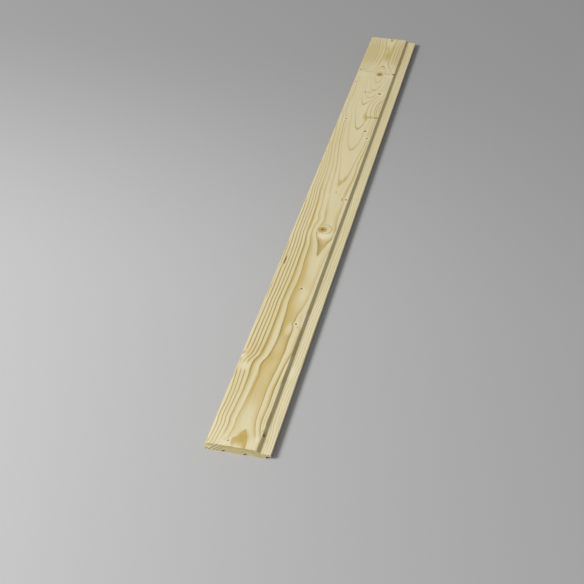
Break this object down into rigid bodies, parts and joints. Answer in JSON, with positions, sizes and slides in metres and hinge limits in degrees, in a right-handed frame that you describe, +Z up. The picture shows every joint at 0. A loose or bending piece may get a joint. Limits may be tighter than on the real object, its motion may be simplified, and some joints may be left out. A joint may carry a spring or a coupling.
{
  "type": "profiled wood board",
  "caption": "Softwood tongue-and-groove lining board with bevelled face edges, a shadow rebate and relief hollows along the back.",
  "frame": {"origin": "on the back face, under the middle of the board's width and length", "axes": "+X across the board towards the tongue, +Y along the grain, +Z up out of the face"},
  "size_m": [0.096, 1.25, 0.0125],
  "materials": {
    "softwood": "planed bare softwood, matt"
  },
  "bodies": {
    "root": {"profiled_board": "softwood"}
  },
  "joints": []
}
